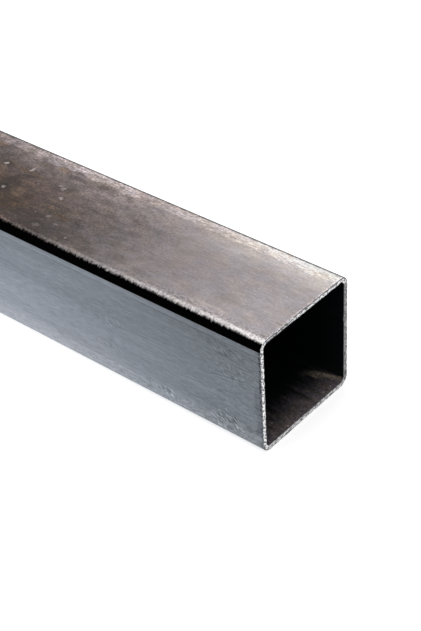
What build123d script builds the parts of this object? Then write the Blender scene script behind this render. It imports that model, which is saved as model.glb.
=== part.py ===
"""Square steel tube: a cold-formed, seam-welded hollow section, sawn square at both ends.

The tube is one piece of strip, rolled round, welded along its length and squared up by rollers.
That gives it one wall thickness all round, rounded corners whose inner and outer arcs share a
centre, and a weld bead that stands inside one wall. The bead's outer half is planed flush.

Millimetres, +Z up. The tube lies along X on one of its flats. The origin is on the floor, at the
middle of that flat.
"""

import os

from build123d import *

# Driving dimensions
LENGTH = 1000.0  # along X, from one sawn end to the other
SIDE = 50.0  # across the flats, the same both ways
WALL = 2.0  # strip thickness
BEND_RADIUS = 2.0  # inside of the corners
BEAD_WIDTH = 2.4  # weld bead, across its foot on the inner face
BEAD_HEIGHT = 0.4  # how far the bead's crown stands off the inner face
BEAD_ABOVE_MIDDLE = 6.0  # from the middle of its wall up to the bead's middle

# Sizes that follow from them
BORE = SIDE - 2 * WALL
CORNER_RADIUS = BEND_RADIUS + WALL


def wall_section():
    """The wall in cross-section, centred on the tube's axis."""
    outside = RectangleRounded(SIDE, SIDE, CORNER_RADIUS)
    bore = RectangleRounded(BORE, BORE, BEND_RADIUS)
    return outside - bore


def bead_section():
    """The weld bead in cross-section, a crowned strip rooted in the +Y wall."""
    inner_face = BORE / 2
    root = inner_face + WALL / 2
    low = BEAD_ABOVE_MIDDLE - BEAD_WIDTH / 2
    high = BEAD_ABOVE_MIDDLE + BEAD_WIDTH / 2
    crown = ThreePointArc(
        (inner_face, high),
        (inner_face - BEAD_HEIGHT, BEAD_ABOVE_MIDDLE),
        (inner_face, low),
    )
    foot = Polyline((inner_face, low), (root, low), (root, high), (inner_face, high))
    return make_face(crown + foot)


def square_tube():
    """The whole tube, one solid, lying on the floor and centred along X."""
    section = Plane.YZ * (wall_section() + bead_section())
    return Pos(-LENGTH / 2, 0, SIDE / 2) * extrude(section, LENGTH, dir=(1, 0, 0))


os.makedirs("parts", exist_ok=True)
export_step(square_tube(), "parts/square_tube.step")
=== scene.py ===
"""Square steel tube: its drawn faces, rubbed corners, dark bore and sawn ends, in a plain studio.

The CAD solid gives the length, the side and where the tube lies. This script makes one finished
skin in the same place, with the saw burr and the weld bead that such stock has, and gives its
three surfaces a material each: the outside, the bore and the sawn ends.

Metres, +Z up, the tube along X on the floor, as in the CAD. The materials work in millimetres.
"""

import math

import bmesh
import bpy
from bpy.props import FloatProperty, FloatVectorProperty, IntProperty, PointerProperty
from mathutils import Matrix, Vector, noise


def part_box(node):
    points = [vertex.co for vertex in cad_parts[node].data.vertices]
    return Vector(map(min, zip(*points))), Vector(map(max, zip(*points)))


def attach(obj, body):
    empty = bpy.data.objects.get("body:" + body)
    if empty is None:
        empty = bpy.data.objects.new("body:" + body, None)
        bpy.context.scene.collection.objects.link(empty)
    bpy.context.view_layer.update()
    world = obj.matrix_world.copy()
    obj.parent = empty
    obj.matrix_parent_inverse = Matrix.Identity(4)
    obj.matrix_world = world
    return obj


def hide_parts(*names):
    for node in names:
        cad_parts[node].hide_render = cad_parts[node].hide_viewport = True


bl_info = {
    "name": "Square steel tube",
    "version": (1, 0, 0),
    "blender": (4, 5, 0),
    "location": "3D View > Sidebar > Tube",
    "description": "Makes a length of square steel tube with sawn ends, and a plain studio for it",
    "category": "Object",
}

NODE = "square_tube"
MM = 0.001

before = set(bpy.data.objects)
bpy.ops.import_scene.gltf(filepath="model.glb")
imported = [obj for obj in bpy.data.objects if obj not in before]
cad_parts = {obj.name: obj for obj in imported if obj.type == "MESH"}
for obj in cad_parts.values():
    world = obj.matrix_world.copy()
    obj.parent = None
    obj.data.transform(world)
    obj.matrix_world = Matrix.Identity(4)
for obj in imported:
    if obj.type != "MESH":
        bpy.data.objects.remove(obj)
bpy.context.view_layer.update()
LOW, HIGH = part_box(NODE)


class TubeSizes(bpy.types.PropertyGroup):
    """The tube's own sizes. The length and the side come from the CAD."""

    length: FloatProperty(
        name="Length", description="From one sawn end to the other", default=HIGH.x - LOW.x, unit="LENGTH"
    )
    side: FloatProperty(
        name="Side", description="Across the flats", default=HIGH.y - LOW.y, unit="LENGTH"
    )
    wall: FloatProperty(name="Wall", description="Strip thickness", default=2 * MM, unit="LENGTH")
    corner: FloatProperty(
        name="Corner radius", description="Outside of the corners", default=4 * MM, unit="LENGTH"
    )
    bead_width: FloatProperty(
        name="Bead width", description="Weld bead, across its foot", default=2.4 * MM, unit="LENGTH"
    )
    bead_height: FloatProperty(
        name="Bead height", description="Weld bead, off the inner face", default=0.4 * MM, unit="LENGTH"
    )
    bead_above_middle: FloatProperty(
        name="Bead above middle",
        description="From the middle of its wall up to the bead",
        default=6 * MM,
        unit="LENGTH",
    )
    burr: FloatProperty(
        name="Burr", description="Height of the lips that the saw leaves", default=0.22 * MM, unit="LENGTH"
    )
    corner_steps: IntProperty(name="Corner steps", description="Facets round a corner", default=12)
    flat_steps: IntProperty(name="Flat steps", description="Facets across a flat", default=84)
    wall_steps: IntProperty(name="Wall steps", description="Facets across a sawn wall", default=6)


class TubeFinish(bpy.types.PropertyGroup):
    """Colours of the tube's surfaces, as they look under plain light."""

    drawn: FloatVectorProperty(
        name="Drawn steel", description="Clean sides", subtype="COLOR", default=(0.176, 0.194, 0.220)
    )
    # Palest sides: the side colour where the painted floor reflection is strongest, and the planed weld
    drawn_pale_and_lit: FloatVectorProperty(
        name="Pale drawn steel",
        description="Sides where they are brightest",
        subtype="COLOR",
        default=(0.292, 0.325, 0.372),
    )
    stained: FloatVectorProperty(
        name="Stained steel", description="Dull top", subtype="COLOR", default=(0.124, 0.089, 0.081)
    )
    weathered: FloatVectorProperty(
        name="Weathered steel", description="Grey top", subtype="COLOR", default=(0.210, 0.180, 0.182)
    )
    # The top's colour at its ends, where it is lightest
    near_end_top: FloatVectorProperty(
        name="Wiped steel", description="Top near its ends", subtype="COLOR", default=(0.400, 0.360, 0.370)
    )
    # Partly wear and partly a painted highlight, on the -Y upper corner
    burnished_and_highlight: FloatVectorProperty(
        name="Burnished steel", description="Rubbed corners", subtype="COLOR", default=(0.900, 0.850, 0.850)
    )
    rust: FloatVectorProperty(
        name="Rust film", description="Brown film", subtype="COLOR", default=(0.160, 0.122, 0.090)
    )
    # Painted dark reflection over the upper corners, with some scale: grey on the +Y corner, black on the -Y
    # one
    scale: FloatVectorProperty(
        name="Mill scale", description="Grey oxide", subtype="COLOR", default=(0.045, 0.045, 0.048)
    )
    painted_black_reflection: FloatVectorProperty(
        name="Black scale", description="Black oxide", subtype="COLOR", default=(0.0006, 0.0006, 0.0006)
    )
    soot: FloatVectorProperty(
        name="Soot", description="Dark smudges on the top", subtype="COLOR", default=(0.066, 0.050, 0.049)
    )
    pale_edge: FloatVectorProperty(
        name="Pale edge", description="Along the +Y corner", subtype="COLOR", default=(0.400, 0.340, 0.330)
    )
    pale_end: FloatVectorProperty(
        name="Pale end",
        description="Along the +Y corner, near the ends",
        subtype="COLOR",
        default=(0.76, 0.70, 0.67),
    )
    bore: FloatVectorProperty(
        name="Bore", description="Scaled inside", subtype="COLOR", default=(0.014, 0.018, 0.021)
    )
    bore_dust: FloatVectorProperty(
        name="Bore dust", description="Film near its mouths", subtype="COLOR", default=(0.135, 0.113, 0.118)
    )
    bore_rust: FloatVectorProperty(
        name="Bore rust", description="Tan rust near its mouths", subtype="COLOR", default=(0.24, 0.20, 0.155)
    )
    sawn: FloatVectorProperty(
        name="Sawn steel", description="Cut walls", subtype="COLOR", default=(0.95, 0.95, 0.96)
    )
    # Also the painted shade along both edges of the sawn walls
    torn: FloatVectorProperty(
        name="Torn steel", description="Jags in the cut walls", subtype="COLOR", default=(0.07, 0.07, 0.08)
    )


class StudioSettings(bpy.types.PropertyGroup):
    """The floor, the light and the camera."""

    floor: FloatVectorProperty(
        name="Floor", description="Pale floor", subtype="COLOR", default=(0.80, 0.80, 0.80)
    )
    floor_size: FloatProperty(name="Floor size", description="Its side", default=30.0, unit="LENGTH")
    floor_lift: FloatProperty(
        name="Floor lift",
        description="Added where the camera sees the floor, which turns it white",
        default=0.58,
    )
    sky: FloatProperty(name="Sky", description="Light from all round, on dull surfaces", default=0.75)
    softbox_power: FloatProperty(name="Softbox", description="Its power", default=3.0, unit="POWER")
    softbox_size: FloatProperty(name="Softbox size", description="Its side", default=0.9, unit="LENGTH")
    softbox_place: FloatVectorProperty(
        name="Softbox place",
        description="Its middle",
        subtype="TRANSLATION",
        unit="LENGTH",
        default=(0.1, -0.2, 1.0),
    )
    focal_length: FloatProperty(
        name="Focal length", description="On a 36 mm sensor", default=85.55, unit="CAMERA"
    )
    camera_place: FloatVectorProperty(
        name="Camera place",
        description="From the origin",
        subtype="TRANSLATION",
        unit="LENGTH",
        default=(0.750836, -0.325281, 0.363288),
    )
    camera_turn: FloatProperty(
        name="Camera turn", description="Round Z, from looking along +Y", subtype="ANGLE", default=0.735811
    )
    camera_dip: FloatProperty(
        name="Camera dip", description="Below level", subtype="ANGLE", default=0.654243
    )
    camera_roll: FloatProperty(
        name="Camera roll", description="Round its own axis", subtype="ANGLE", default=-0.063528
    )


# ---------------------------------------------------------------------------------------------
# The skin's shape

# Where the skin is cut across, in millimetres from each end: close together where the burr is
RINGS = (0, 0.3, 0.8, 1.6, 3, 6, 12, 25, 45, 75, 115, 170, 250, 340, 430, 500)

# Points this close together count as in the same place
HAIR = 0.01 * MM
# A face of the sawn end has its middle within this of the end
CUT_DEPTH = 0.15 * MM

# The unevenness of the torn ends: the pitch of each noise, and its seed, which changes sign with the end
BROAD = (2.3 * MM, 7.1)
FINE = (0.8 * MM, 11.3)
TORN = (1.6 * MM, 19.7)
NIBBLED = (1.1 * MM, 23.9)
# The tooth marks: their pitch, and how far they lean
TOOTH_PITCH, TOOTH_LEAN = 1.15 * MM, 0.22


def clamped(value):
    """A value kept from 0 to 1."""
    return min(max(value, 0), 1)


def half_flat(sizes):
    """Half the width of a flat, which ends where the corner's arc starts."""
    return sizes.side / 2 - sizes.corner


def rounded_square(bm, sizes):
    """A square edge loop across X at the origin, with round corners and even steps on its flats."""
    bmesh.ops.create_grid(bm, x_segments=1, y_segments=1, size=sizes.side / 2)
    bmesh.ops.bevel(
        bm,
        geom=bm.verts[:],
        offset=sizes.corner,
        offset_type="OFFSET",
        affect="VERTICES",
        segments=sizes.corner_steps,
        profile=0.5,
        material=-1,
    )
    bmesh.ops.delete(bm, geom=bm.faces[:], context="FACES_ONLY")
    flats = [edge for edge in bm.edges if edge.calc_length() > sizes.side / 2]
    bmesh.ops.subdivide_edges(bm, edges=flats, cuts=sizes.flat_steps - 1)
    bmesh.ops.rotate(bm, verts=bm.verts[:], cent=(0, 0, 0), matrix=Matrix.Rotation(math.pi / 2, 3, "Y"))


def ring_places(length):
    """The places along X of all the rings, from one end to the other."""
    left = [length * (step / RINGS[-1] - 1) / 2 for step in RINGS]
    return left + [-place for place in reversed(left[:-1])]


def draw_along(bm, places):
    """Extrudes the loop through each place along X."""
    bmesh.ops.translate(bm, verts=bm.verts[:], vec=(places[0], 0, 0))
    rim = bm.edges[:]
    for here, there in zip(places, places[1:]):
        made = bmesh.ops.extrude_edge_only(bm, edges=rim)["geom"]
        verts = {item for item in made if isinstance(item, bmesh.types.BMVert)}
        bmesh.ops.translate(bm, verts=list(verts), vec=(there - here, 0, 0))
        edges = [item for item in made if isinstance(item, bmesh.types.BMEdge)]
        rim = [edge for edge in edges if verts.issuperset(edge.verts)]


def past_core(point, sizes):
    """How far a point of the section is, across and up, from the square that the arcs turn about."""
    core = half_flat(sizes)
    return Vector((max(abs(point.y) - core, 0), max(abs(point.z) - core, 0)))


def way_in(point, sizes):
    """How deep in the wall a point is: 0 on the outside, 1 on the bore."""
    out = past_core(point, sizes)
    if min(out) > 0:
        depth = sizes.corner - out.length
    else:
        depth = sizes.side / 2 - max(abs(point.y), abs(point.z))
    return depth / sizes.wall


def way_round(point, sizes):
    """Distance round the outside from the middle of the top, positive towards -Y."""
    core = half_flat(sizes)
    quarter = sizes.corner * math.pi / 2
    out = past_core(point, sizes)
    if point.z >= core:
        found = min(abs(point.y), core) + sizes.corner * math.atan2(out.x, out.y)
    elif point.z > -core:
        found = core + quarter + core - point.z
    else:
        found = 4 * core + 2 * quarter - min(abs(point.y), core)
        found -= sizes.corner * (math.pi / 2 - math.atan2(out.y, out.x))
    return found


def crown(offset, width, height):
    """The weld bead's height at a distance from its middle line."""
    return height * max(0.0, 1 - (2 * offset / width) ** 2)


def raise_bead(verts, sizes):
    """Lifts the weld bead off the inside of the +Y wall."""
    face = sizes.side / 2 - sizes.wall
    for vert in verts:
        if vert.co.y > face - HAIR:
            vert.co.y -= crown(vert.co.z - sizes.bead_above_middle, sizes.bead_width, sizes.bead_height)


def rag(point, kind, sign):
    """Uneven height from -1 to 1, not the same at both ends."""
    pitch, seed = kind
    return noise.noise(Vector((point.y / pitch, point.z / pitch, seed * sign)))


def tear_sawn_end(verts, sizes, sign):
    """Roughens one sawn end: lips along both edges, tooth marks and torn spots between them."""
    for vert in verts:
        across = clamped(way_in(vert.co, sizes))
        lip = abs(2 * across - 1) ** 3
        uneven = 0.55 + 0.6 * rag(vert.co, BROAD, sign) + 0.45 * rag(vert.co, FINE, sign)
        teeth = math.sin(2 * math.pi * (vert.co.z + TOOTH_LEAN * vert.co.y) / TOOTH_PITCH)
        torn = min(0, 0.45 * rag(vert.co, TORN, sign) + 0.1 * teeth)
        vert.co.x += sign * sizes.burr * (lip * uneven * (1.2 - 0.7 * across) + (1 - lip) * torn)
        if across < 0.5:
            outward = Vector((0, vert.co.y, vert.co.z)).normalized()
            vert.co -= outward * sizes.burr * lip * abs(0.3 + 0.7 * rag(vert.co, NIBBLED, sign))


def skin_mesh(sizes):
    """The whole skin about the X axis: outside, bore, bead and torn ends."""
    bm = bmesh.new()
    rounded_square(bm, sizes)
    draw_along(bm, ring_places(sizes.length))
    bmesh.ops.recalc_face_normals(bm, faces=bm.faces[:])
    bmesh.ops.solidify(bm, geom=bm.faces[:], thickness=sizes.wall)
    inner = {vert for vert in bm.verts if way_in(vert.co, sizes) > 0.5}
    raise_bead(inner, sizes)
    through = [edge for edge in bm.edges if len(inner.intersection(edge.verts)) == 1]
    bmesh.ops.subdivide_edges(bm, edges=through, cuts=sizes.wall_steps - 1, use_grid_fill=True)
    for sign in (-1, 1):
        end = [vert for vert in bm.verts if sign * vert.co.x > sizes.length / 2 - HAIR]
        tear_sawn_end(end, sizes, sign)
    return bm


# The three surfaces, and the material slot of each
OUTSIDE, BORE, SAWN = range(3)


def surface_of(face, sizes):
    """Which of the three surfaces a face belongs to."""
    middle = face.calc_center_median()
    if abs(middle.x) > sizes.length / 2 - CUT_DEPTH and abs(face.normal.x) > 0.5:
        return SAWN
    return BORE if way_in(middle, sizes) > 0.5 else OUTSIDE


def mark_surfaces(bm, sizes):
    """Gives each face its surface, smooth within it and with sharp edges where two surfaces meet."""
    for face in bm.faces:
        face.smooth = True
        face.material_index = surface_of(face, sizes)
    for edge in bm.edges:
        edge.smooth = len({face.material_index for face in edge.link_faces}) == 1


def lay_skin_map(bm, sizes):
    """A UV map in metres: along the tube, and round it from the middle of the top."""
    layer = bm.loops.layers.uv.new("skin")
    for face in bm.faces:
        side = -1 if face.calc_center_median().y > 0 else 1
        for loop in face.loops:
            point = loop.vert.co
            along = point.x
            if face.material_index == SAWN:
                along = math.copysign(sizes.length / 2 + sizes.wall * way_in(point, sizes), point.x)
            loop[layer].uv = (along, side * way_round(point, sizes))


# Rows of the bake map, from its foot: where each starts and how high it is
OUTSIDE_ROWS = (0.004, 0.345)
BORE_ROWS = (0.699, 0.134)
SAWN_ROW = (0.975, 0.021)
ROW_GAP = 0.0045
# The map's bare margin, and the width that each sawn end takes in its row
MARGIN = 0.004
SAWN_WIDTH = 0.494

# Half the tube in the bake map: this share of it nearest the end gets this share of the width
NEAR_LENGTH, NEAR_WIDTH = 0.34, 0.50


def along_bake(along, sizes):
    """Place along the bake map's width, with more room for the stretch near the end."""
    share = 1 - abs(along) / (sizes.length / 2)
    if share < NEAR_LENGTH:
        found = share / NEAR_LENGTH * NEAR_WIDTH
    else:
        found = NEAR_WIDTH + (share - NEAR_LENGTH) / (1 - NEAR_LENGTH) * (1 - NEAR_WIDTH)
    return MARGIN + (1 - 2 * MARGIN) * clamped(found)


def lay_bake_map(bm, sizes):
    """A UV map without overlaps: each half of the tube has its own rows."""
    skin = bm.loops.layers.uv["skin"]
    layer = bm.loops.layers.uv.new("OFBake")
    around = 8 * half_flat(sizes) + 2 * math.pi * sizes.corner
    for face in bm.faces:
        end = 1 if face.calc_center_median().x > 0 else 0
        for loop in face.loops:
            along, round_it = loop[skin].uv
            share = round_it / around + 0.5
            if face.material_index == SAWN:
                start, height = SAWN_ROW
                across = MARGIN + SAWN_WIDTH * share + (SAWN_WIDTH + MARGIN) * end
                up = start + height * clamped(way_in(loop.vert.co, sizes))
            else:
                start, height = OUTSIDE_ROWS if face.material_index == OUTSIDE else BORE_ROWS
                across = along_bake(along, sizes)
                up = start + end * (height + ROW_GAP) + height * share
            loop[layer].uv = (across, up)


# ---------------------------------------------------------------------------------------------
# Shader building


def rgb(colour):
    """A property's colour with full alpha."""
    return (*colour, 1.0)


# Where the next node goes: the width of a column, the height of a row, and the rows in a column
COLUMN, ROW, ROWS = 220, -190, 4


class Sheet:
    """A node tree that is filled from left to right."""

    def __init__(self, tree):
        self.tree = tree
        self.count = 0

    def node(self, kind, inputs=(), **settings):
        """Adds a node, sets its properties, and feeds its inputs with sockets or plain values."""
        made = self.tree.nodes.new(kind)
        made.location = (COLUMN * (self.count // ROWS), ROW * (self.count % ROWS))
        self.count += 1
        for name, value in settings.items():
            setattr(made, name, value)
        for key, value in dict(inputs).items():
            self.feed(made.inputs[key], value)
        return made

    def feed(self, socket, value):
        """Links a socket to another, or sets its own value."""
        if isinstance(value, bpy.types.NodeSocket):
            self.tree.links.new(value, socket)
        else:
            socket.default_value = value

    def math(self, operation, *values):
        """One Math node; its result."""
        return self.node("ShaderNodeMath", enumerate(values), operation=operation).outputs[0]

    def vector(self, operation, *values):
        """One Vector Math node; its vector result."""
        return self.node("ShaderNodeVectorMath", enumerate(values), operation=operation).outputs[0]

    def scaled(self, vector, factor):
        """A vector multiplied by a number."""
        return self.node("ShaderNodeVectorMath", {0: vector, "Scale": factor}, operation="SCALE").outputs[0]

    def parts(self, vector):
        """A vector's X, Y and Z."""
        return self.node("ShaderNodeSeparateXYZ", {0: vector}).outputs

    def joined(self, **parts):
        """A vector made from its X, Y and Z."""
        return self.node("ShaderNodeCombineXYZ", parts).outputs[0]

    def ease(self, value, low, high):
        """0 below low, 1 above high and smooth between. Low may be above high."""
        made = self.node(
            "ShaderNodeMapRange",
            {"Value": value, "From Min": low, "From Max": high},
            interpolation_type="SMOOTHSTEP",
            clamp=False,
        )
        return made.outputs[0]

    def span(self, value, low, high):
        """A value from 0 to 1 stretched to run from low to high."""
        made = self.node("ShaderNodeMapRange", {"Value": value, "To Min": low, "To Max": high}, clamp=False)
        return made.outputs[0]

    def times(self, *values):
        """Values multiplied together: for masks, what they all cover."""
        found = values[0]
        for value in values[1:]:
            found = self.math("MULTIPLY", found, value)
        return found

    def most(self, *masks):
        """The strongest of several masks."""
        found = masks[0]
        for mask in masks[1:]:
            found = self.math("MAXIMUM", found, mask)
        return found

    def without(self, mask):
        """1 where a mask is 0, and 0 where it is 1."""
        return self.math("SUBTRACT", 1.0, mask)

    def mix(self, share, first, second, blend_type="MIX", clamp=True):
        """Mixes two colours; the share may be a socket or a number."""
        made = self.node("ShaderNodeMix", {0: share, 6: first, 7: second}, data_type="RGBA")
        made.blend_type = blend_type
        made.clamp_result = clamp
        return made.outputs[2]

    def shade(self, colour, value, high, low=1.0):
        """Multiplies a colour by high where a value is 1, and by low where it is 0."""
        factor = self.span(value, low, high)
        grey = self.node("ShaderNodeCombineColor", dict.fromkeys(("Red", "Green", "Blue"), factor))
        return self.mix(1.0, colour, grey.outputs[0], "MULTIPLY")

    def tinge(self, colour, value, high, low=(1, 1, 1)):
        """Multiplies a colour by one tint where a value is 1, and by another where it is 0."""
        tint = self.mix(value, (*low, 1), (*high, 1), clamp=False)
        return self.mix(1.0, colour, tint, "MULTIPLY")

    def use(self, tree, **inputs):
        """Places a node group, feeds its inputs by name, and gives its outputs."""
        made = self.node("ShaderNodeGroup", node_tree=tree)
        for name, value in inputs.items():
            self.feed(made.inputs[name], value)
        return made.outputs


def new_group(name, outputs, **inputs):
    """An empty node group with named sockets; its sheet, its inputs and its output node."""
    tree = bpy.data.node_groups.new(name, "ShaderNodeTree")
    for label, default in inputs.items():
        kind = "NodeSocketFloat" if isinstance(default, float) else "NodeSocketVector"
        tree.interface.new_socket(label, in_out="INPUT", socket_type=kind).default_value = default
    for label in outputs:
        tree.interface.new_socket(label, in_out="OUTPUT", socket_type="NodeSocketFloat")
    sheet = Sheet(tree)
    start = sheet.node("NodeGroupInput")
    end = sheet.node("NodeGroupOutput")
    end.location = (1500, 0)
    return sheet, start.outputs, end.inputs


def stretched_noise(sheet, given, length, width, slant=None, **settings):
    """Noise over the group's Place, with bumps of a length along the tube and a width across it."""
    place = sheet.parts(given["Place"])
    across = place["Y"]
    if slant is not None:
        across = sheet.math("MULTIPLY_ADD", place["X"], slant, across)
    along = sheet.math("DIVIDE", place["X"], length)
    across = sheet.math("DIVIDE", across, width)
    stretched = sheet.joined(X=along, Y=across, Z=given["Seed"])
    return sheet.node("ShaderNodeTexNoise", {"Vector": stretched, "Scale": 1.0, **settings}).outputs[0]


def ragged_value(sheet, given, value):
    """A value pushed up and down by the group's Bumps, as far as its Rag says."""
    swing = sheet.times(sheet.math("SUBTRACT", given["Bumps"], 0.5), given["Rag"])
    return sheet.math("MULTIPLY_ADD", swing, 2.0, value)


def streaks_group():
    """Lines along the tube, from the rolls: 0 to 1."""
    sheet, given, found = new_group(
        "Roll lines", ("Line",), Place=(0, 0, 0), Length=40.0, Width=0.6, Seed=0.0
    )
    lines = stretched_noise(sheet, given, given["Length"], given["Width"], Detail=3.0, Roughness=0.6)
    sheet.feed(found["Line"], lines)
    return sheet.tree


def clouds_group():
    """Soft patches: the raw noise, and a mask that runs from 0 at Low to 1 at High."""
    sheet, given, found = new_group(
        "Clouds",
        ("Mask", "Raw"),
        Place=(0, 0, 0),
        Size=10.0,
        Stretch=1.0,
        Detail=3.0,
        Low=0.4,
        High=0.6,
        Seed=0.0,
    )
    length = sheet.times(given["Size"], given["Stretch"])
    clouds = stretched_noise(sheet, given, length, given["Size"], Detail=given["Detail"], Roughness=0.55)
    sheet.feed(found["Raw"], clouds)
    sheet.feed(found["Mask"], sheet.ease(clouds, given["Low"], given["High"]))
    return sheet.tree


def specks_group():
    """Round specks scattered over a surface, each with a halo."""
    sheet, given, found = new_group(
        "Specks", ("Speck", "Halo"), Place=(0, 0, 0), Spacing=6.0, Size=0.5, Share=0.4, Seed=0.0
    )
    moved = sheet.vector("ADD", given["Place"], sheet.joined(X=given["Seed"], Y=given["Seed"]))
    per_cell = sheet.scaled(moved, sheet.math("DIVIDE", 1.0, given["Spacing"]))
    cells = sheet.node("ShaderNodeTexVoronoi", {"Vector": per_cell, "Scale": 1.0}, voronoi_dimensions="2D")
    away = sheet.times(cells.outputs["Distance"], given["Spacing"])
    luck = sheet.node("ShaderNodeSeparateColor", {0: cells.outputs["Color"]}).outputs
    kept = sheet.math("LESS_THAN", luck["Red"], given["Share"])
    radius = sheet.times(given["Size"], sheet.span(luck["Green"], 0.35, 1.0))
    reach = sheet.math("DIVIDE", away, radius)
    speck = sheet.times(kept, sheet.ease(reach, 1.1, 0.6))
    halo = sheet.times(kept, sheet.ease(reach, 2.6, 1.0))
    sheet.feed(found["Speck"], speck)
    sheet.feed(found["Halo"], sheet.math("SUBTRACT", halo, speck))
    return sheet.tree


def ticks_group():
    """Short straight marks, all at one slant: 0 to 1."""
    sheet, given, found = new_group(
        "Ticks", ("Tick",), Place=(0, 0, 0), Slant=0.0, Length=3.0, Width=0.3, Few=0.6, Seed=0.0
    )
    field = stretched_noise(sheet, given, given["Length"], given["Width"], given["Slant"], Detail=1.0)
    full = sheet.math("ADD", given["Few"], 0.08)
    sheet.feed(found["Tick"], sheet.ease(field, given["Few"], full))
    return sheet.tree


def band_group():
    """A band between two limits of a value; Bumps, a noise, makes its soft edges ragged."""
    sheet, given, found = new_group(
        "Ragged band", ("Band",), Value=0.0, Bumps=0.5, From=0.0, To=1.0, Soft=0.3, Rag=0.3
    )
    value = ragged_value(sheet, given, given["Value"])
    low, high, soft = given["From"], given["To"], given["Soft"]
    rise = sheet.ease(value, sheet.math("SUBTRACT", low, soft), sheet.math("ADD", low, soft))
    fall = sheet.ease(value, sheet.math("ADD", high, soft), sheet.math("SUBTRACT", high, soft))
    sheet.feed(found["Band"], sheet.times(rise, fall))
    return sheet.tree


def stain_group():
    """One dried stain: its inside, the line round it, the ground outside it and its tide mark."""
    sheet, given, found = new_group(
        "Dried stain",
        ("Inside", "Rim", "Outside", "Tide"),
        Place=(0, 0, 0),
        Bumps=0.5,
        Centre=(0, 0, 0),
        Reach=(10, 10, 1),
        Rag=0.3,
        Soft=0.06,
    )
    away = sheet.vector("DIVIDE", sheet.vector("SUBTRACT", given["Place"], given["Centre"]), given["Reach"])
    distance = sheet.node("ShaderNodeVectorMath", {0: away}, operation="LENGTH").outputs["Value"]
    reach = ragged_value(sheet, given, distance)
    past = sheet.math("ADD", 1.0, given["Soft"])
    inside = sheet.ease(reach, past, sheet.math("SUBTRACT", 1.0, given["Soft"]))
    behind = sheet.ease(sheet.parts(away)["X"], 0.30, -0.25)
    edge = sheet.times(sheet.ease(reach, 1.04, 1.0), sheet.ease(reach, 0.55, 1.02))
    sheet.feed(found["Inside"], inside)
    sheet.feed(found["Rim"], sheet.times(sheet.ease(reach, 1.08, 1.0), sheet.ease(reach, 0.95, 1.0)))
    sheet.feed(found["Outside"], sheet.times(sheet.ease(reach, 1.55, 1.05), sheet.without(inside)))
    sheet.feed(found["Tide"], sheet.times(edge, behind))
    return sheet.tree


class Kit:
    """The node groups that the materials share."""

    def __init__(self):
        self.streaks = streaks_group()
        self.clouds = clouds_group()
        self.specks = specks_group()
        self.ticks = ticks_group()
        self.band = band_group()
        self.stain = stain_group()


# How far the materials' finest relief stands up
RELIEF = 0.1 * MM


class Surface:
    """A material with a Principled BSDF, and the sheet that it is drawn on."""

    def __init__(self, name):
        self.material = bpy.data.materials.new(name)
        self.material.use_nodes = True
        self.material.node_tree.nodes.clear()
        self.sheet = Sheet(self.material.node_tree)
        self.shader = self.sheet.node("ShaderNodeBsdfPrincipled")
        self.shader.location = (2600, 0)
        self.output = self.sheet.node("ShaderNodeOutputMaterial", {"Surface": self.shader.outputs[0]})
        self.output.location = (2900, 0)

    def set(self, name, value):
        """Feeds one input of the shader."""
        self.sheet.feed(self.shader.inputs[name], value)

    def complete(self, colour, metallic, roughness, height, strength):
        """Feeds the shader its colour, its gloss and a fine relief; the material."""
        bump = self.sheet.node("ShaderNodeBump", {"Strength": strength, "Distance": RELIEF, "Height": height})
        self.set("Base Color", colour)
        self.set("Metallic", metallic)
        self.set("Roughness", roughness)
        self.set("Normal", bump.outputs[0])
        return self.material


class Skin:
    """Where a point of the skin is, in millimetres, and the patterns that are drawn there."""

    def __init__(self, kit, sheet, sizes):
        self.kit = kit
        self.sheet = sheet
        uv = sheet.node("ShaderNodeUVMap", uv_map="skin").outputs[0]
        self.place = sheet.scaled(uv, 1 / MM)
        parts = sheet.parts(self.place)
        self.along = parts["X"]
        self.signed = parts["Y"]
        self.round = sheet.math("ABSOLUTE", self.signed)
        self.from_end = sheet.math("SUBTRACT", sizes.length / 2 / MM, sheet.math("ABSOLUTE", self.along))

    def clouds(self, **settings):
        """A mask of soft patches."""
        return self.sheet.use(self.kit.clouds, Place=self.place, **settings)["Mask"]

    def noise(self, **settings):
        """The noise under such patches, which swings about 0.5."""
        return self.sheet.use(self.kit.clouds, Place=self.place, **settings)["Raw"]

    def lines(self, **settings):
        """Roll lines along the tube."""
        return self.sheet.use(self.kit.streaks, Place=self.place, **settings)["Line"]

    def specks(self, **settings):
        """Scattered specks, and their halos."""
        return self.sheet.use(self.kit.specks, Place=self.place, **settings)

    def ticks(self, **settings):
        """Short straight marks."""
        return self.sheet.use(self.kit.ticks, Place=self.place, **settings)["Tick"]

    def band(self, value, bumps, start, stop, soft, rag):
        """Where a value is between start and stop, with ragged edges."""
        return self.sheet.use(
            self.kit.band, Value=value, Bumps=bumps, From=start, To=stop, Soft=soft, Rag=rag
        )["Band"]

    def stains(self, marks, bumps, rag, soft=0.06):
        """All the masks of each mark in a list, with its strength."""
        for along, signed, length, width, strength in marks:
            found = self.sheet.use(
                self.kit.stain,
                Place=self.place,
                Bumps=bumps,
                Centre=(along, signed, 0),
                Reach=(length, width, 1),
                Rag=rag,
                Soft=soft,
            )
            yield found, strength

    def marked(self, marks, bumps, rag, soft):
        """The inside of each mark in a list, at its strength."""
        for stain, strength in self.stains(marks, bumps, rag, soft):
            yield self.sheet.times(stain["Inside"], strength)


# ---------------------------------------------------------------------------------------------
# The outside's marks
#
# Places are in millimetres: along the tube from its middle, and round it from the middle of the
# top, positive towards -Y. Each mark has its middle along and round, its half-length, its
# half-width and its strength.

# Where the -Y corner's arc meets the -Y side
SIDE_EDGE = 27.28
# The scarfed weld on the +Y side, and half its width
WELD_LINE, WELD_HALF = -42.3, 1.5

# Puddles that dried with a line round them
PUDDLES = (
    (337, 0.5, 15.5, 8, 0.9),
    (366, 14.5, 6.5, 3.2, 0.6),
    (142, -9, 38, 10, 0.8),
    (-96, 8, 30, 9, 0.8),
    (-305, -4, 46, 12, 0.9),
)
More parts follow.
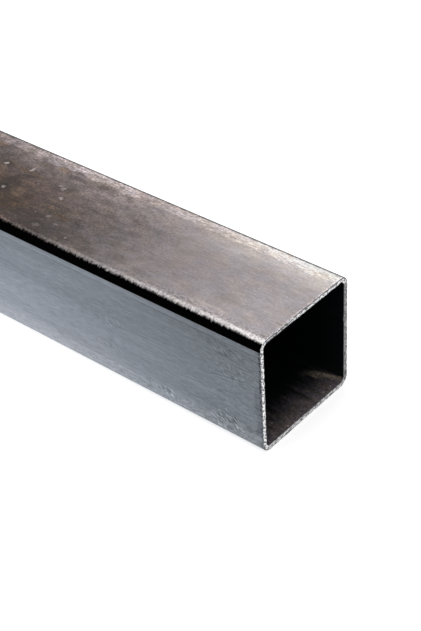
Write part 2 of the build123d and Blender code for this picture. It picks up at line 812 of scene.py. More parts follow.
# Tide marks: dark just inside their edge on the -X side
TIDES = (
    (366, 5, 12.6, 11.2, 0.9),
    (120, 4, 24, 12, 0.6),
    (-180, -6, 30, 11, 0.7),
)
# Brown film dried on the top
FILMS = (
    (352, 11, 24, 13, 1.0),
    (389, 5, 8, 3.5, 0.5),
    (262, 6, 40, 13, 0.7),
    (140, -8, 36, 11, 0.7),
    (-30, 5, 52, 12, 0.6),
    (-240, -2, 60, 14, 0.8),
    (-420, 8, 34, 10, 0.5),
)
# Dark stains on the top
SOOT_STAINS = (
    (357.4, 7.2, 2.6, 2.2, 1.0),
    (359.6, 4.5, 4.4, 5.0, 0.80),
    (347.4, -6.4, 3.0, 1.8, 0.7),
    (361, -14.8, 4.0, 1.4, 0.6),
    (378, -14.2, 5.0, 1.3, 0.45),
    (336.5, -13.0, 3.0, 1.4, 0.5),
    (369, 11.4, 8.0, 0.9, 0.5),
    (386.2, 17.2, 2.0, 1.5, 0.6),
    (391, 18.5, 8, 3.0, 0.35),
    (427, 16.5, 5, 2.4, 0.40),
    (440, 18, 5, 1.8, 0.38),
    (475, 11.5, 6, 3.0, 0.24),
    (493.5, -19.8, 2.2, 1.2, 0.5),
    (60, 6, 14, 6.0, 0.40),
    (-210, -12, 16, 5.0, 0.40),
)
# Rust stains on the top
RUST_STAINS = (
    (347.5, -7.2, 2.2, 1.4, 0.7),
    (361, -14.6, 3.2, 1.0, 0.5),
    (369.4, -15.6, 3.2, 1.2, 0.7),
    (334, -15.2, 3.2, 1.6, 0.7),
    (371.3, 5.6, 2.6, 1.3, 1.0),
    (392, 9.2, 4.5, 1.2, 0.9),
    (360, -6.6, 9, 1.1, 0.7),
    (366.5, 13.5, 7.0, 3.6, 0.4),
    (20, -16, 5, 2.0, 0.60),
    (-380, 11, 7, 3.0, 0.60),
)
# Places rubbed a little brighter
RUBS = (
    (472, 19.2, 8, 1.8, 0.50),
    (370, -1.6, 7, 5.0, 0.22),
    (351.6, -2.0, 3.2, 3.4, 0.45),
    (332, -16.4, 4.5, 1.8, 0.40),
    (376, 21.9, 7, 0.8, 0.70),
    (410.6, 21.9, 4, 0.8, 0.90),
    (385, -21.6, 11, 1.0, 0.40),
    (408, -21.6, 10, 1.0, 0.20),
)
# Splashes that dried into a crust near the +X end, each with a dark surround that is partly dirt and partly a
# painted shadow
SPLASHES = (
    (346, -6.2, 0.9, 0.9, 1.0),
    (358.4, -8.6, 1.0, 1.1, 0.9),
    (357.5, 6.9, 0.8, 0.8, 0.7),
    (376.2, -6.6, 1.0, 0.8, 0.55),
    (378.6, -5.7, 0.9, 0.9, 0.8),
    (382.3, -0.2, 0.8, 0.8, 0.8),
    (387.1, 18.3, 1.4, 1.2, 0.24),
    (387.3, 11.4, 0.8, 0.8, 0.5),
    (393.4, 14, 0.8, 0.8, 0.4),
)
# Scuffed places on the -Y side near the +X end
SCUFFS = (
    (484, 65.6, 6.5, 4.2, 1.0),
    (455, 66.8, 3.6, 2.2, 0.9),
    (430, 46.2, 7, 2.4, 0.35),
    (427, 57.3, 7, 2, 0.35),
    (487, 42.3, 6, 3.5, 0.45),
    (485, 33, 9, 2.5, 0.40),
)
# Dirt on the -Y side near its foot
SMUDGES = (
    (494.3, 64.4, 1.3, 1.6, 0.50),
    (498.6, 62.0, 1.0, 3.4, 0.45),
    (484.5, 35.5, 3.0, 0.7, 0.30),
    (498.2, 51.0, 1.5, 7.0, 0.40),
    (497.8, 64.2, 1.2, 1.0, 0.50),
)
# Thin scratches on the -Y side: their two ends, along and round, and strength
SCORES = (
    (476.5, 46.8, 493.5, 43.4, 0.55),
    (462.0, 61.5, 483.0, 62.6, 0.3),
    (438.0, 38.2, 441.0, 36.4, 0.7),
)
# Thin roll lines round the sides: place, half-width, and how much light they leave
ROLL_LINES = (
    (30.0, 0.2, 0.66),
    (31.4, 0.12, 0.88),
    (32.6, 0.3, 0.93),
    (65.2, 0.3, 0.90),
)


# ---------------------------------------------------------------------------------------------
# The outside


class Outside(Skin):
    """The outside's zones, and the noises that its patterns share, from broad to fine."""

    def __init__(self, kit, sheet, sizes):
        super().__init__(kit, sheet, sizes)
        self.drift = self.noise(Size=24.0, Stretch=1.7, Detail=4.0, Seed=1.0)
        self.blots = self.noise(Size=6.0, Stretch=1.5, Detail=5.0, Seed=4.0)
        self.patches = self.clouds(Size=3.4, Stretch=1.8, Detail=6.0, Low=0.30, High=0.70, Seed=2.0)
        self.bumps = self.noise(Size=1.5, Detail=4.0, Seed=14.0)
        self.grain = self.clouds(Size=1.0, Detail=2.0, Low=0.28, High=0.72, Seed=6.0)
        self.brushed = self.clouds(Size=0.7, Stretch=5.0, Detail=3.0, Low=0.30, High=0.70, Seed=16.0)
        self.jags = self.noise(Size=2.4, Stretch=0.32, Detail=3.0, Seed=7.0)
        self.long_lines = self.lines(Length=50.0, Width=1.1, Seed=3.0)
        self.short_lines = self.lines(Length=5.0, Width=0.6, Seed=5.0)
        self.bands = self.lines(Length=55.0, Width=5.0, Seed=15.0)

        # The top, lighter near its ends, and the dirty stretch away from them
        self.wandered = sheet.math("ADD", self.from_end, sheet.span(self.drift, -26.0, 26.0))
        self.end_zone = sheet.ease(self.wandered, 88.0, 2.0)
        self.away = sheet.ease(self.wandered, 45.0, 120.0)
        self.is_top = sheet.ease(self.round, 24.4, 23.8)


def dull_top(sheet, skin, finish):
    """The top's ground: stained in the middle, grey nearer the ends and lightest at them."""
    bare = skin.clouds(Size=40.0, Stretch=2.2, Detail=4.0, Low=0.52, High=0.72, Seed=8.0)
    weathered = sheet.most(sheet.ease(skin.wandered, 125.0, 65.0), sheet.times(bare, 0.7))
    colour = sheet.mix(weathered, rgb(finish.stained), rgb(finish.weathered))
    colour = sheet.mix(skin.end_zone, colour, rgb(finish.near_end_top))
    colour = sheet.shade(colour, sheet.times(skin.away, sheet.ease(skin.signed, -9.0, 17.0)), 0.40)
    return sheet.shade(colour, sheet.ease(skin.from_end, 95.0, 140.0), 0.80)


def pale_top_edge(sheet, skin, finish, colour):
    """The top gets paler towards its +Y corner, with a ragged bright strip along it."""
    pale = sheet.mix(skin.end_zone, rgb(finish.pale_edge), rgb(finish.pale_end))
    pale = sheet.shade(pale, sheet.ease(skin.from_end, 125.0, 165.0), 0.84, 1.12)
    pale = sheet.tinge(pale, sheet.ease(skin.along, 352.0, 336.0), (0.90, 0.85, 0.84))
    drifted = sheet.math("ADD", skin.signed, sheet.span(skin.drift, -5.0, 5.0))
    broad = sheet.times(sheet.ease(drifted, -3.0, -18.0), sheet.span(skin.end_zone, 0.42, 0.56))
    colour = sheet.mix(broad, colour, pale)
    # Partly wear and partly a painted highlight: a ragged bright strip along the +Y corner, brightest at its
    # edge
    rim = skin.band(skin.signed, skin.blots, start=-60.0, stop=-17.4, soft=0.7, rag=2.6)
    outermost = sheet.ease(skin.signed, -18.5, -21.0)
    bright = sheet.shade(pale, outermost, 1.15)
    bright = sheet.shade(bright, sheet.times(skin.end_zone, outermost), 1.09)
    streaked = sheet.shade(bright, skin.brushed, 1.34, 0.66)
    return sheet.mix(sheet.times(rim, 0.95), colour, streaked)


def browned_top(sheet, skin, finish, colour):
    """Brown film, broad reddish and dim parts, and puddles that dried with a line round them."""
    browned = sheet.ease(skin.blots, 0.50, 0.60)
    colour = sheet.mix(sheet.times(browned, skin.away, 0.35), colour, rgb(finish.rust))
    for film in skin.marked(FILMS, skin.drift, rag=0.5, soft=0.22):
        colour = sheet.tinge(colour, film, (1.05, 1.0, 0.82))
    reddened = sheet.times(
        sheet.ease(skin.along, 400.0, 364.0), sheet.ease(skin.signed, -12.0, 6.0), skin.away
    )
    colour = sheet.tinge(colour, reddened, (1.12, 1.0, 1.0))
    dimmed = sheet.times(
        sheet.ease(skin.along, 394.0, 374.0),
        sheet.ease(skin.signed, -1.0, -6.0),
        skin.away,
        sheet.ease(skin.signed, -19.0, -15.0),
    )
    colour = sheet.shade(colour, dimmed, 0.85)
    for puddle, strength in skin.stains(PUDDLES, skin.blots, rag=0.16):
        colour = sheet.shade(colour, sheet.times(puddle["Outside"], strength), 0.88)
        colour = sheet.tinge(colour, sheet.times(puddle["Inside"], strength), (1.04, 1.0, 0.88))
        colour = sheet.shade(colour, sheet.times(puddle["Rim"], strength), 0.70)
    return colour


def stained_top(sheet, skin, finish, colour):
    """Tide marks, soot, rust and rubbed places on the top, then its broad tints."""
    for tide, strength in skin.stains(TIDES, skin.bumps, rag=0.12):
        colour = sheet.shade(colour, sheet.times(tide["Tide"], strength), 0.42)
    for soot in skin.marked(SOOT_STAINS, skin.bumps, rag=1.2, soft=0.5):
        colour = sheet.shade(colour, soot, 0.45)
    for rust in skin.marked(RUST_STAINS, skin.bumps, rag=1.2, soft=0.3):
        colour = sheet.tinge(colour, rust, (0.98, 0.80, 0.60))
    for rub in skin.marked(RUBS, skin.bumps, rag=1.0, soft=0.5):
        colour = sheet.shade(colour, rub, 1.5)
    cool = sheet.times(sheet.ease(skin.signed, -6.0, -11.0), skin.away)
    colour = sheet.tinge(colour, cool, (1.0, 1.0, 1.03))
    smudges = skin.clouds(Size=8.0, Stretch=1.5, Detail=4.0, Low=0.54, High=0.68, Seed=9.0)
    colour = sheet.mix(sheet.times(smudges, skin.away, 0.4), colour, rgb(finish.soot))
    tint = skin.clouds(Size=7.0, Stretch=1.4, Detail=3.0, Low=0.38, High=0.62, Seed=10.0)
    return sheet.tinge(colour, tint, (1.01, 1.02, 1.05), (1.05, 1.03, 0.98))


def drawn_side(sheet, skin, finish):
    """The clean sides and the underside: paler away from the ends and lower down, as a painted reflection of
    the pale floor.
    """
    paler = sheet.times(sheet.ease(skin.from_end, 0.0, 135.0), sheet.ease(skin.round, 26.0, 58.0))
    colour = sheet.mix(sheet.times(paler, 0.92), rgb(finish.drawn), rgb(finish.drawn_pale_and_lit))
    # Painted reflection: the upper side darker at the end and paler away from it, the lower side paler
    high = sheet.ease(skin.round, 44.0, 33.0)
    colour = sheet.shade(colour, sheet.times(high, sheet.ease(skin.from_end, 45.0, 15.0)), 0.95)
    colour = sheet.shade(colour, sheet.times(high, sheet.ease(skin.from_end, 15.0, 85.0)), 1.26)
    colour = sheet.shade(colour, sheet.ease(skin.round, 32.0, 58.0), 1.17, 1.03)
    colour = sheet.shade(colour, sheet.ease(skin.from_end, 85.0, 125.0), 1.04)
    low = sheet.ease(skin.round, 62.0, 67.0)
    colour = sheet.shade(colour, low, 1.18)
    colour = sheet.shade(colour, sheet.times(low, sheet.ease(skin.from_end, 15.0, 40.0)), 1.08)
    # Painted glare: the bottom arc painted paler still, as if it mirrored the white floor
    colour = sheet.shade(colour, sheet.ease(skin.round, 68.8, 70.6), 1.25)
    colour = sheet.tinge(colour, sheet.ease(skin.round, 62.0, 68.0), (1.02, 1.0, 0.985))
    mauve = sheet.times(sheet.ease(skin.round, 48.0, 60.0), sheet.ease(skin.from_end, 50.0, 80.0))
    return sheet.tinge(colour, mauve, (1.01, 0.985, 0.98))


def lined_side(sheet, skin, colour):
    """Thin roll lines along the sides, which fade in and out, and a bright one by the corner."""
    broken = skin.lines(Length=36.0, Width=9.0, Seed=31.0)
    kept = sheet.most(sheet.ease(broken, 0.34, 0.52), 0.35)
    for place, half, light in ROLL_LINES:
        line = skin.band(skin.round, skin.drift, start=place - half, stop=place + half, soft=0.12, rag=0.3)
        colour = sheet.shade(colour, sheet.times(line, kept), light)
    strip = sheet.times(sheet.ease(skin.round, 28.2, 28.6), sheet.ease(skin.round, 29.6, 29.3))
    return sheet.shade(colour, strip, 1.10)


def welded_side(sheet, skin, finish, colour):
    """The weld, scarfed flat between two thin lines, with the strip beside it tinted by its heat."""
    from_weld = sheet.math("ABSOLUTE", sheet.math("SUBTRACT", skin.signed, WELD_LINE))
    colour = sheet.tinge(colour, sheet.ease(from_weld, 7.0, 1.5), (0.80, 0.84, 0.96))
    scarfed = skin.band(from_weld, skin.bumps, start=-9.0, stop=WELD_HALF, soft=0.1, rag=0.25)
    planed = sheet.shade(rgb(finish.drawn_pale_and_lit), skin.jags, 1.5, 0.6)
    colour = sheet.mix(sheet.times(scarfed, 0.8), colour, planed)
    edge = skin.band(
        from_weld, skin.bumps, start=WELD_HALF - 0.1, stop=WELD_HALF + 0.2, soft=0.1, rag=0.25
    )
    return sheet.shade(colour, edge, 0.55)


def rolled_colour(sheet, skin, colour):
    """Patches, roll lines and grain over the whole outside, strongest on the stained top."""
    clean_side = sheet.shade(colour, skin.bands, 1.18, 0.82)
    clean_top = sheet.shade(colour, skin.patches, 1.09, 0.91)
    clean = sheet.mix(skin.is_top, clean_side, clean_top)
    dirty = sheet.times(skin.is_top, skin.away)
    colour = sheet.mix(dirty, clean, sheet.shade(colour, skin.patches, 1.40, 0.60))
    colour = sheet.shade(colour, skin.long_lines, 1.12, 0.88)
    colour = sheet.shade(colour, skin.short_lines, 1.18, 0.82)

    # The sides are grainy at their foot and near the ends
    nearby = sheet.span(sheet.ease(skin.from_end, 110.0, 30.0), 0.10, 0.45)
    foot = sheet.times(sheet.ease(skin.round, 64.0, 67.5), nearby)
    at_end = sheet.times(sheet.ease(skin.from_end, 45.0, 5.0), 0.32)
    fine = sheet.shade(colour, skin.brushed, 1.08, 0.92)
    rough = sheet.shade(colour, skin.brushed, 1.40, 0.60)
    side = sheet.mix(sheet.most(foot, at_end), fine, rough)
    grainy = sheet.most(foot, sheet.times(at_end, 0.8))
    side = sheet.mix(grainy, side, sheet.shade(side, skin.grain, 1.40, 0.60))

    # The top is coarse in its dirty stretch, along its +Y side and along the worn -Y corner
    pale_side = sheet.times(sheet.ease(skin.signed, -14.5, -18.0), 0.25)
    worn_side = sheet.times(
        sheet.ease(skin.signed, 18.8, 19.8), sheet.ease(skin.from_end, 110.0, 30.0), 0.6
    )
    coarse = sheet.most(pale_side, worn_side, sheet.times(skin.away, 0.58))
    fine = sheet.shade(colour, skin.grain, 1.10, 0.90)
    rough = sheet.shade(colour, skin.grain, 1.58, 0.42)
    return sheet.mix(skin.is_top, side, sheet.mix(coarse, fine, rough))


def corner_colour(sheet, skin, finish, colour):
    """Each upper corner: a bright strip above it on the -Y side, partly wear and partly a painted highlight,
    and a band painted dark over its outer half as a painted dark reflection, black on the -Y corner
    and grey on the +Y one.

    Gives the colour, and where the grey painted reflection is on the +Y corner, which is duller.
    """
    front = sheet.ease(skin.signed, -1.0, 1.0)
    near = sheet.math("EXPONENT", sheet.math("DIVIDE", skin.from_end, -48.0))
    on_corner = sheet.ease(skin.round, SIDE_EDGE + 0.08, SIDE_EDGE - 0.08)
    # Painted highlight with wear: a bright strip above the -Y corner, brighter towards the ends
    wear_and_highlight = sheet.times(sheet.ease(skin.round, 21.35, 22.2), on_corner, front, near)
    colour = sheet.mix(wear_and_highlight, colour, sheet.shade(rgb(finish.burnished_and_highlight), skin.grain, 1.32, 0.60))
    further = sheet.span(sheet.ease(skin.from_end, 130.0, 80.0), 0.88, 1.18)
    lower = sheet.math("MULTIPLY_ADD", near, 0.3, further)
    start = sheet.math("MULTIPLY_ADD", front, lower, 22.05)
    ragged = sheet.math("MULTIPLY_ADD", skin.jags, 0.6, sheet.times(skin.bumps, 0.5))
    ragged = sheet.math("SUBTRACT", ragged, 0.05)
    rag = sheet.math("MULTIPLY_ADD", near, -1.4, 2.3)
    band = skin.band(skin.round, ragged, start=start, stop=29.8, soft=0.6, rag=rag)
    scaled = sheet.times(band, on_corner)
    # Painted dark reflection: a dark band over each corner's outer half, black on -Y and grey on +Y
    colour = sheet.mix(scaled, colour, sheet.mix(front, rgb(finish.scale), rgb(finish.painted_black_reflection)))
    return colour, sheet.times(scaled, sheet.without(front))


def flawed_colour(sheet, skin, finish, colour):
    """Crusted splashes, specks, pits and nicks; the colour, and the pits."""
    for splash, strength in skin.stains(SPLASHES, skin.grain, rag=-0.55, soft=0.35):
        # Painted shadow with dirt: a dark surround round each crust
        colour = sheet.shade(colour, sheet.times(splash["Outside"], strength), 0.50)
        crumbs = sheet.times(splash["Inside"], sheet.ease(skin.grain, -0.55, 0.62), strength)
        colour = sheet.mix(crumbs, colour, rgb(finish.pale_edge))
    flecks = skin.specks(Spacing=17.0, Size=0.9, Share=0.35, Seed=11.0)
    here = sheet.times(skin.is_top, skin.away)
    colour = sheet.shade(colour, sheet.times(flecks["Halo"], here, skin.patches), 0.55)
    colour = sheet.mix(sheet.times(flecks["Speck"], here, skin.grain), colour, rgb(finish.pale_edge))
    pits = skin.specks(Spacing=4.1, Size=0.40, Share=0.30, Seed=13.0)["Speck"]
    colour = sheet.shade(colour, sheet.times(pits, skin.is_top), 0.72)
    nicks = skin.specks(Spacing=6.2, Size=0.36, Share=0.30, Seed=17.0)["Speck"]
    return sheet.shade(colour, sheet.times(nicks, skin.is_top), 1.5), pits


def score(sheet, skin, ends):
    """One thin scratch between two places: the groove, and the burr along its lower edge."""
    first, level, last, end_level = ends
    slope = (end_level - level) / (last - first)
    middle = level - slope * first
    wander = sheet.span(skin.drift, middle - 2.0, middle + 2.0)
    off = sheet.math("SUBTRACT", skin.signed, sheet.math("MULTIPLY_ADD", skin.along, slope, wander))
    within = sheet.times(
        sheet.ease(skin.along, first, first + 3.0), sheet.ease(skin.along, last, last - 2.0)
    )
    groove = sheet.ease(sheet.math("ABSOLUTE", off), 0.38, 0.15)
    burr = sheet.ease(sheet.math("ABSOLUTE", sheet.math("SUBTRACT", off, 0.55)), 0.38, 0.12)
    return sheet.times(groove, within), sheet.times(burr, within)


def scuffed_colour(sheet, skin, colour):
    """Short slanted ticks, pale and dark, in scuffed places; thin scores, dirt and dashes."""
    somewhere = skin.clouds(Size=11.0, Stretch=1.8, Detail=2.0, Low=0.56, High=0.64, Seed=21.0)
    scuffed = sheet.times(somewhere, sheet.ease(skin.along, 345.0, 300.0), 0.5)
    scuffed = sheet.most(scuffed, *skin.marked(SCUFFS, skin.blots, rag=0.8, soft=0.4))
    dark_ticks = skin.ticks(Slant=-0.85, Length=2.6, Width=0.40, Few=0.51, Seed=25.0)
    colour = sheet.shade(colour, sheet.times(dark_ticks, scuffed), 0.26)
    pale_ticks = skin.ticks(Slant=-0.85, Length=2.8, Width=0.38, Few=0.55, Seed=23.0)
    colour = sheet.shade(colour, sheet.times(pale_ticks, scuffed), 2.5)
    for *ends, strength in SCORES:
        groove, burr = score(sheet, skin, ends)
        colour = sheet.shade(colour, sheet.times(groove, strength), 0.50)
        colour = sheet.shade(colour, sheet.times(burr, strength), 1.45)
    for smudge in skin.marked(SMUDGES, skin.bumps, rag=1.2, soft=0.4):
        colour = sheet.shade(colour, smudge, 0.45)
    dashes = skin.ticks(Slant=0.0, Length=9.0, Width=0.35, Few=0.60, Seed=27.0)
    return sheet.shade(colour, dashes, 0.78)


def burred_colour(sheet, skin, colour):
    """The last millimetre before each sawn end: rubbed bright on the top, nicked dark lower down."""
    burrs = skin.clouds(Size=0.8, Detail=2.0, Low=0.40, High=0.6, Seed=29.0)
    rubbed = sheet.shade(colour, burrs, 1.75, 0.85)
    nicked = sheet.shade(colour, burrs, 0.95, 0.22)
    last = sheet.ease(skin.from_end, sheet.span(skin.is_top, 1.1, 0.7), 0.3)
    return sheet.mix(last, colour, sheet.mix(skin.is_top, nicked, rubbed))


def outside_material(kit, sizes, finish):
    """Drawn outside: dull stained top, blue-grey sides, worn corners with painted highlight and dark
    reflection.
    """
    surface = Surface("tube_outside")
    sheet = surface.sheet
    skin = Outside(kit, sheet, sizes)

    top = dull_top(sheet, skin, finish)
    for add in (pale_top_edge, browned_top, stained_top):
        top = add(sheet, skin, finish, top)
    side = lined_side(sheet, skin, drawn_side(sheet, skin, finish))
    side = welded_side(sheet, skin, finish, side)
    colour = rolled_colour(sheet, skin, sheet.mix(skin.is_top, side, top))
    colour, dull_painted_reflection = corner_colour(sheet, skin, finish, colour)
    colour, pits = flawed_colour(sheet, skin, finish, colour)
    colour = burred_colour(sheet, skin, scuffed_colour(sheet, skin, colour))

    # Little reflection at grazing angles, so that the painted black reflection stays black in a white room
    surface.set("Specular Tint", (0.5, 0.5, 0.5, 1))
    surface.set("Specular IOR Level", 1.0)
    dull = sheet.most(sheet.ease(skin.round, 21.9, 21.2), dull_painted_reflection)
    rough = sheet.math("MULTIPLY_ADD", skin.patches, 0.08, sheet.span(dull, 0.24, 0.42))
    height = sheet.math("MULTIPLY_ADD", skin.short_lines, 0.5, sheet.times(skin.grain, 0.3))
    height = sheet.math("MULTIPLY_ADD", pits, -0.8, height)
    return surface.complete(colour, sheet.span(dull, 1.0, 0.45), rough, height, strength=0.35)


# ---------------------------------------------------------------------------------------------
# The bore and the sawn ends


def bore_material(kit, sizes, finish):
    """Scaled bore, with a dusty film on its floor near the mouths and a streak of rust beside it; the film,
    which fades out within about 17 mm, is partly dust and partly painted light at the mouth, with painted
    shade deeper in.
    """
    surface = Surface("tube_bore")
    sheet = surface.sheet
    skin = Skin(kit, sheet, sizes)
    on_floor = sheet.ease(skin.round, 70.0, 75.0)
    drag = skin.noise(Size=2.4, Stretch=3.0, Detail=6.0, Seed=41.0)
    fine = skin.lines(Length=3.0, Width=0.7, Seed=42.0)
    grain = skin.clouds(Size=1.0, Detail=4.0, Low=0.32, High=0.68, Seed=43.0)
    tint = skin.clouds(Size=4.0, Stretch=1.6, Low=0.42, High=0.58, Seed=44.0)

    # Painted shade with dust: the film fades out near each mouth, leaving the bore darker deeper in
    reach = sheet.math("ADD", skin.from_end, sheet.span(drag, 9.0, -9.0))
    dust_and_mouth_light = sheet.times(sheet.ease(reach, 17.0, -3.0), on_floor)
    dust = sheet.shade(rgb(finish.bore_dust), fine, 1.55, 0.45)
    dust = sheet.shade(dust, grain, 1.45, 0.55)
    dust = sheet.tinge(dust, tint, (0.96, 0.96, 1.06), (1.06, 1.0, 0.90))
    colour = sheet.mix(dust_and_mouth_light, rgb(finish.bore), dust)

    slanted = sheet.math("MULTIPLY_ADD", skin.from_end, 0.44, skin.signed)
    streak = skin.band(slanted, drag, start=-74.0, stop=-70.4, soft=1.2, rag=2.2)
    mouth = sheet.span(sheet.ease(skin.from_end, 0.0, 4.0), 0.55, 0.95)
    rusty = sheet.times(streak, sheet.ease(skin.from_end, 18.0, 7.0), mouth)
    rust = sheet.shade(rgb(finish.bore_rust), grain, 1.55, 0.45)
    colour = sheet.mix(rusty, colour, sheet.shade(rust, fine, 1.5, 0.5))

    motes = skin.specks(Spacing=5.0, Size=0.5, Share=0.3, Seed=47.0)["Speck"]
    motes = sheet.times(motes, sheet.ease(skin.from_end, 14.0, 8.0), on_floor)
    colour = sheet.mix(motes, colour, rgb(finish.pale_edge))
    covered = sheet.most(dust_and_mouth_light, rusty)
    metallic = sheet.span(covered, 0.9, 0.1)
    roughness = sheet.span(covered, 0.42, 0.75)
    return surface.complete(colour, metallic, roughness, sheet.math("ADD", fine, grain), strength=0.4)


def sawn_material(kit, sizes, finish):
    """Sawn walls: bright torn steel with dark jags along the cut, and dark lines on both its edges that are
    partly torn steel and partly painted shade by the burrs.
    """
    surface = Surface("tube_sawn")
    sheet = surface.sheet
    skin = Skin(kit, sheet, sizes)
    torn = skin.clouds(Size=1.5, Stretch=0.35, Detail=3.0, Low=0.51, High=0.59, Seed=51.0)
    teeth = skin.ticks(Slant=-0.7, Length=2.4, Width=1.0, Few=0.53, Seed=53.0)
    uneven = skin.noise(Size=1.3, Stretch=4.0, Detail=4.0, Seed=55.0)

    # The four walls differ: the top one is cracked towards +Y, and the far one and the foot are dull
    on_top = sheet.ease(skin.round, 23.5, 21.5)
    far = sheet.ease(skin.signed, -25.0, -28.0)
    foot = sheet.ease(skin.round, 71.0, 75.0)
    cracked = sheet.times(on_top, sheet.ease(skin.signed, 3.0, 9.0))

    # Bright between an outer and an inner dark line, which are this deep in the wall; the lines are partly
    # painted shade along the burred edges
    depth = sheet.times(skin.from_end, -1.0)
    outer = sheet.span(sheet.most(cracked, far, sheet.times(foot, 0.6)), 0.50, 0.05)
    outer = sheet.math("ADD", outer, sheet.times(sheet.math("SUBTRACT", on_top, cracked), 0.28))
    inner = sheet.math("SUBTRACT", 1.90, sheet.times(cracked, 0.30))
    inner = sheet.math("SUBTRACT", inner, sheet.times(far, 0.35))
    bright = skin.band(depth, uneven, start=outer, stop=inner, soft=0.12, rag=0.6)
    split = skin.band(depth, uneven, start=0.70, stop=1.30, soft=0.1, rag=0.8)
    # Torn jags, and the painted shade of both burred edges
    jags_and_edge_shade = sheet.most(torn, sheet.times(teeth, 0.85), sheet.times(cracked, split), sheet.without(bright))

    cut_face = sheet.shade(rgb(finish.sawn), sheet.times(foot, 0.6), 0.45)
    cut_face = sheet.shade(cut_face, sheet.math("SUBTRACT", far, sheet.times(foot, far)), 0.36)
    colour = sheet.mix(jags_and_edge_shade, cut_face, rgb(finish.torn))
    return surface.complete(colour, 1.0, 0.35, sheet.math("ADD", torn, teeth), strength=0.3)


# ---------------------------------------------------------------------------------------------
# The tube


def add_object(name, bm, *materials):
    """Turns a bmesh into an object of the scene."""
    mesh = bpy.data.meshes.new(name)
    bm.to_mesh(mesh)
    bm.free()
    for material in materials:
        mesh.materials.append(material)
    added = bpy.data.objects.new(name, mesh)
    bpy.context.scene.collection.objects.link(added)
    return added


class OBJECT_OT_square_tube(bpy.types.Operator):
    """Make the tube's finished skin, where the CAD solid lies"""

    bl_idname = "object.make_square_tube"
    bl_label = "Make square tube"

    def execute(self, context):
        sizes = context.scene.tube_sizes
        finish = context.scene.tube_finish
        bm = skin_mesh(sizes)
        mark_surfaces(bm, sizes)
        lay_skin_map(bm, sizes)
        lay_bake_map(bm, sizes)
        bmesh.ops.translate(bm, verts=bm.verts[:], vec=(LOW + HIGH) / 2)
        kit = Kit()
        # In the order of the material slots: OUTSIDE, BORE, SAWN
        makers = (outside_material, bore_material, sawn_material)
        tube = add_object("tube_skin", bm, *(make(kit, sizes, finish) for make in makers))
        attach(tube, "root")
        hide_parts(NODE)
        return {"FINISHED"}


# ---------------------------------------------------------------------------------------------
# The studio


def seen_or_mirrored(sheet):
    """Two masks: rays straight from the camera, and rays off metal or through glass."""
    path = sheet.node("ShaderNodeLightPath").outputs
    return path["Is Camera Ray"], sheet.most(path["Is Glossy Ray"], path["Is Transmission Ray"])


def floor_material(studio):
    """Pale floor: white in metal and to the camera, but it keeps the tube's shadow."""
    surface = Surface("studio_floor")
    sheet = surface.sheet
    seen, mirrored = seen_or_mirrored(sheet)
    surface.set("Base Color", rgb(studio.floor))
    surface.set("Roughness", 0.9)
    surface.set("Specular IOR Level", 0.0)
    surface.set("Emission Color", (1, 1, 1, 1))
    surface.set("Emission Strength", sheet.times(seen, studio.floor_lift))
    white = sheet.node("ShaderNodeEmission", {"Strength": 1.0}).outputs[0]
    swap = sheet.node("ShaderNodeMixShader", {0: mirrored, 1: surface.shader.outputs[0], 2: white})
    sheet.feed(surface.output.inputs["Surface"], swap.outputs[0])
    return surface.material


def lay_floor(studio):
    """A square of floor under the tube: an edge along Y, drawn along X."""
    reach = studio.floor_size / 2
    bm = bmesh.new()
    edge = bm.edges.new([bm.verts.new((-reach, side, 0)) for side in (-reach, reach)])
    drawn = bmesh.ops.extrude_edge_only(bm, edges=[edge])["geom"]
    far_verts = [item for item in drawn if isinstance(item, bmesh.types.BMVert)]
    bmesh.ops.translate(bm, verts=far_verts, vec=(2 * reach, 0, 0))
    add_object("studio_floor", bm, floor_material(studio))


def make_world(studio):
    """White to the camera and in metal, and an even light on the rest."""
    world = bpy.data.worlds.new("studio_sky")
    world.use_nodes = True
    world.node_tree.nodes.clear()
    sheet = Sheet(world.node_tree)
    seen, mirrored = seen_or_mirrored(sheet)
    white = sheet.most(seen, mirrored)
    strength = sheet.math("MULTIPLY_ADD", white, 1 - studio.sky, studio.sky)
    sky = sheet.node("ShaderNodeBackground", {"Color": (1, 1, 1, 1), "Strength": strength})
    sheet.node("ShaderNodeOutputWorld", {"Surface": sky.outputs[0]})
    bpy.context.scene.world = world


# The camera's sensor is this wide, in millimetres, and it sees nothing nearer than this
SENSOR_WIDTH = 36
NEAREST = 0.01


def place_camera(studio):
    """The camera, from its place and its three turns."""
    turn, dip = studio.camera_turn, studio.camera_dip
    back = Vector((math.sin(turn) * math.cos(dip), -math.cos(turn) * math.cos(dip), math.sin(dip)))
    right = Vector((math.cos(turn), math.sin(turn), 0))
    upright = Matrix((right, back.cross(right), back)).transposed()
    camera = bpy.data.cameras.new("camera")
    camera.lens = studio.focal_length
    camera.sensor_width = SENSOR_WIDTH
    camera.clip_start = NEAREST
    holder = bpy.data.objects.new("camera", camera)
    holder.matrix_world = (
        Matrix.Translation(studio.camera_place)
        @ upright.to_4x4()
        @ Matrix.Rotation(studio.camera_roll, 4, "Z")
    )
    bpy.context.scene.collection.objects.link(holder)
    bpy.context.scene.camera = holder


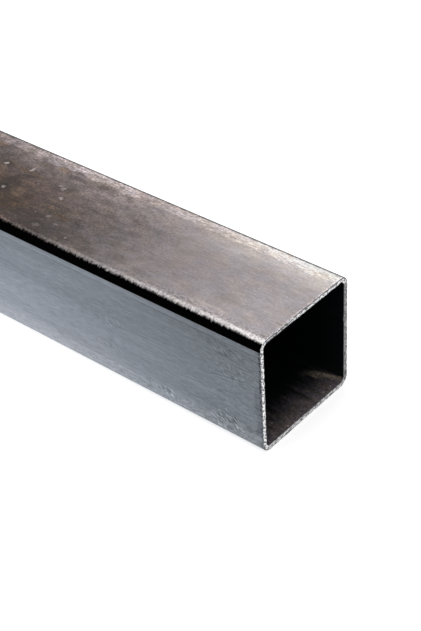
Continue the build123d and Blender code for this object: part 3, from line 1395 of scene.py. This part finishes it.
def place_softbox(studio):
    """A wide lamp overhead, which doesn't show in metal."""
    light = bpy.data.lights.new("softbox", "AREA")
    light.shape = "SQUARE"
    light.size = studio.softbox_size
    light.energy = studio.softbox_power
    lamp = bpy.data.objects.new("softbox", light)
    lamp.location = studio.softbox_place
    lamp.visible_glossy = False
    bpy.context.scene.collection.objects.link(lamp)


class OBJECT_OT_tube_studio(bpy.types.Operator):
    """Make the floor, the sky, the lamp and the camera"""

    bl_idname = "object.make_tube_studio"
    bl_label = "Make studio"

    def execute(self, context):
        studio = context.scene.tube_studio
        lay_floor(studio)
        make_world(studio)
        place_softbox(studio)
        place_camera(studio)
        context.scene.view_settings.view_transform = "Standard"
        return {"FINISHED"}


class VIEW3D_PT_square_tube(bpy.types.Panel):
    """The tube's sizes, colours and studio, and what makes them"""

    bl_label = "Square steel tube"
    bl_idname = "VIEW3D_PT_square_tube"
    bl_space_type = "VIEW_3D"
    bl_region_type = "UI"
    bl_category = "Tube"

    def draw(self, context):
        scene = context.scene
        for title, group, operator in (
            ("Sizes", scene.tube_sizes, OBJECT_OT_square_tube),
            ("Finish", scene.tube_finish, None),
            ("Studio", scene.tube_studio, OBJECT_OT_tube_studio),
        ):
            box = self.layout.box()
            box.label(text=title)
            for name in group.__annotations__:
                box.prop(group, name)
            if operator is not None:
                box.operator(operator.bl_idname)


CLASSES = (
    TubeSizes,
    TubeFinish,
    StudioSettings,
    OBJECT_OT_square_tube,
    OBJECT_OT_tube_studio,
    VIEW3D_PT_square_tube,
)


def register():
    """Adds the classes, and their settings to every scene."""
    for cls in CLASSES:
        bpy.utils.register_class(cls)
    bpy.types.Scene.tube_sizes = PointerProperty(type=TubeSizes)
    bpy.types.Scene.tube_finish = PointerProperty(type=TubeFinish)
    bpy.types.Scene.tube_studio = PointerProperty(type=StudioSettings)


def unregister():
    """Takes them away again."""
    del bpy.types.Scene.tube_studio
    del bpy.types.Scene.tube_finish
    del bpy.types.Scene.tube_sizes
    for cls in reversed(CLASSES):
        bpy.utils.unregister_class(cls)


def main():
    """Makes everything in order."""
    register()
    bpy.ops.object.make_square_tube()
    bpy.ops.object.make_tube_studio()


if __name__ == "__main__":
    main()
